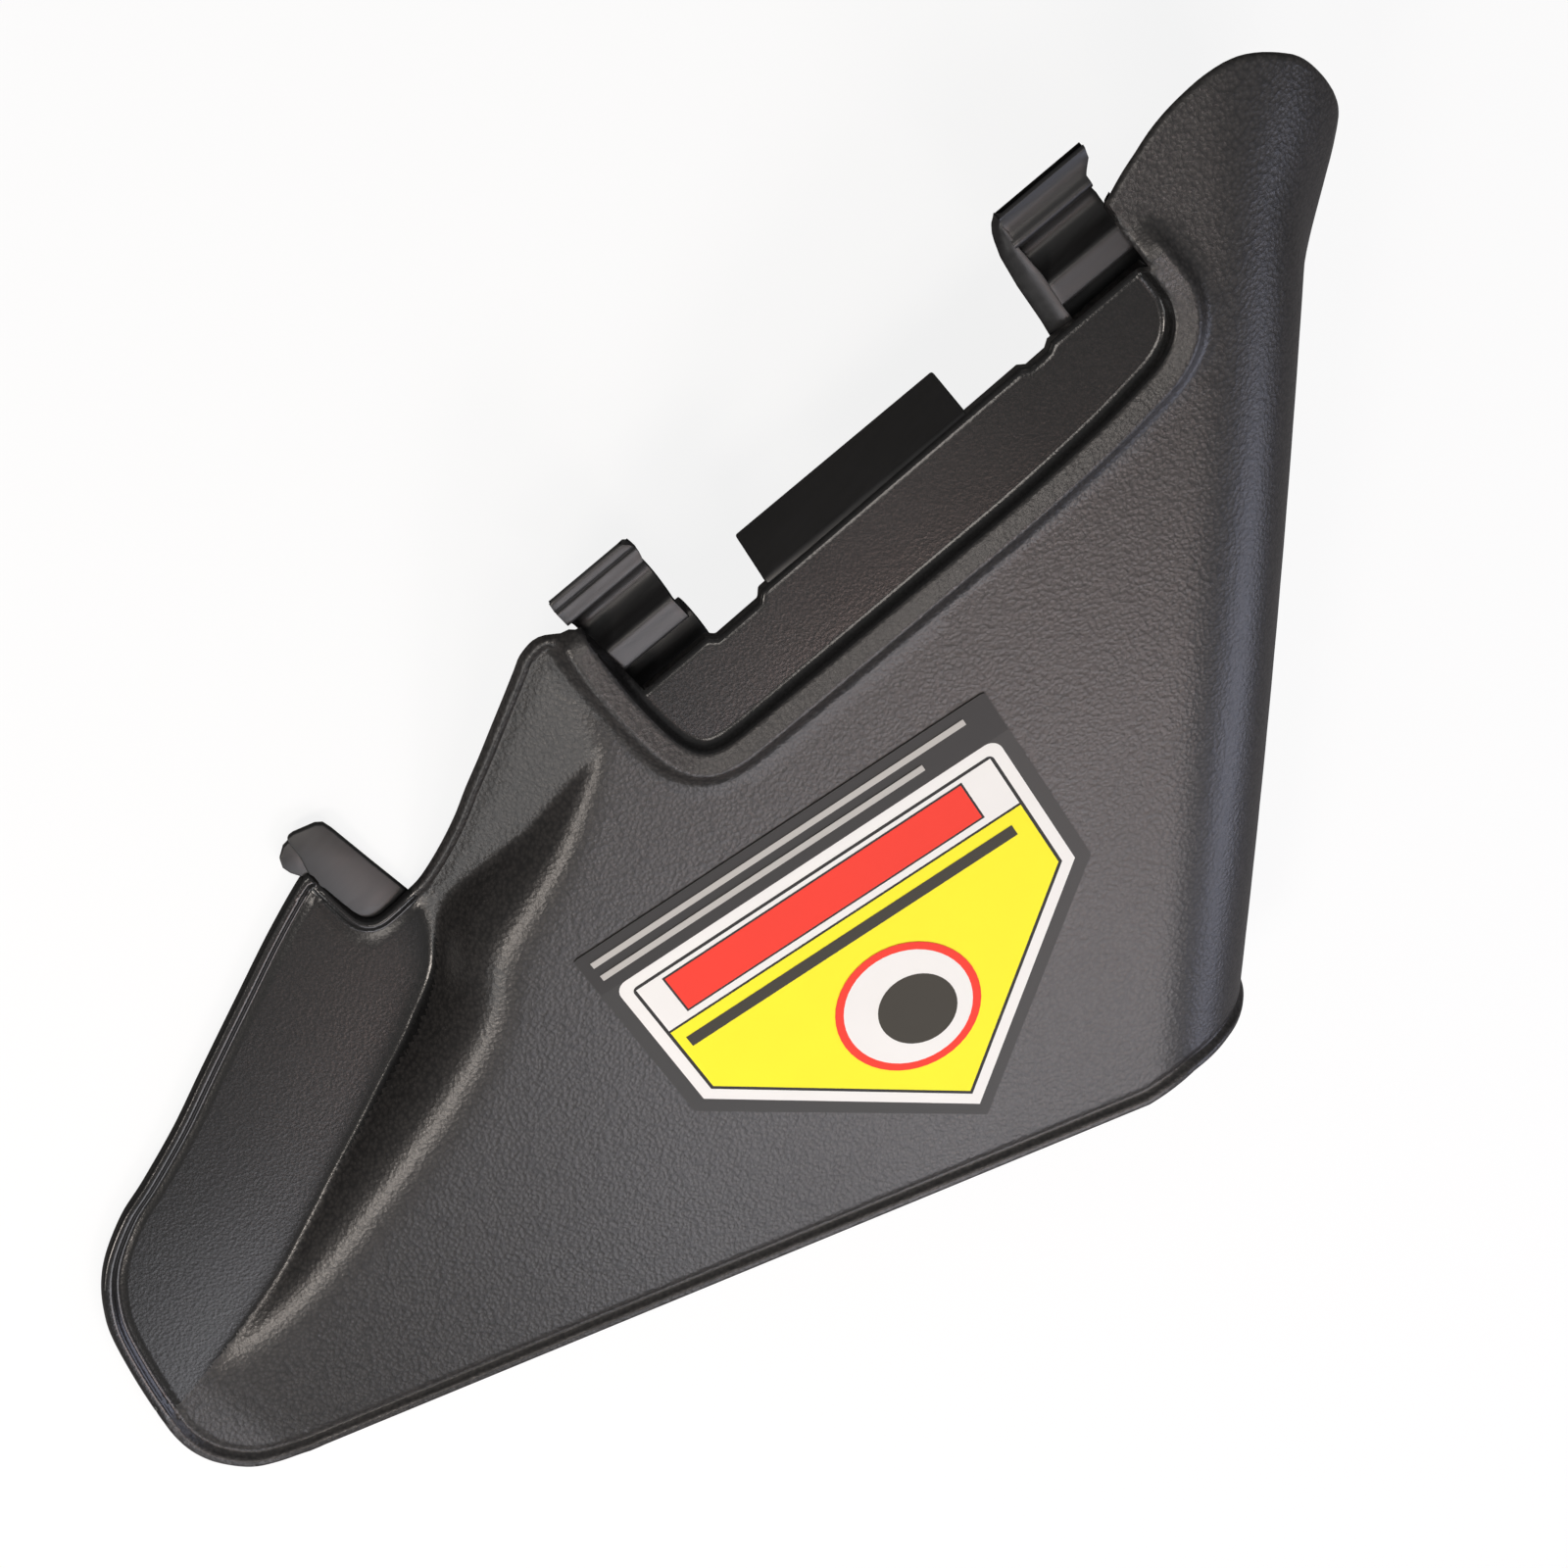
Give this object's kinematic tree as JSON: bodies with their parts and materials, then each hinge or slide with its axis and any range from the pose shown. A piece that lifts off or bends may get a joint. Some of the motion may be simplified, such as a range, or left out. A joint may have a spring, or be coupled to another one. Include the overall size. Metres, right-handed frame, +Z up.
{
  "type": "side discharge chute",
  "caption": "Moulded plastic side discharge chute for a walk-behind mower: a sloping cover with a front wall, a low flange, hinge hooks, a stop tab and a blank label film.",
  "frame": {"origin": "bottom centre of the bounding box, on the ground plane that the flange and the front wall stand on", "axes": "+X from the flange's toe to the front wall, along the hinge in plan; +Y from the outlet edge to the mower deck; +Z up"},
  "size_m": [0.3884, 0.216, 0.0718],
  "materials": {
    "moulding": "fine leather grain, satin",
    "label": "printed vinyl film, satin"
  },
  "bodies": {
    "root": {"chute": "moulding", "label_film": "label"}
  },
  "joints": []
}
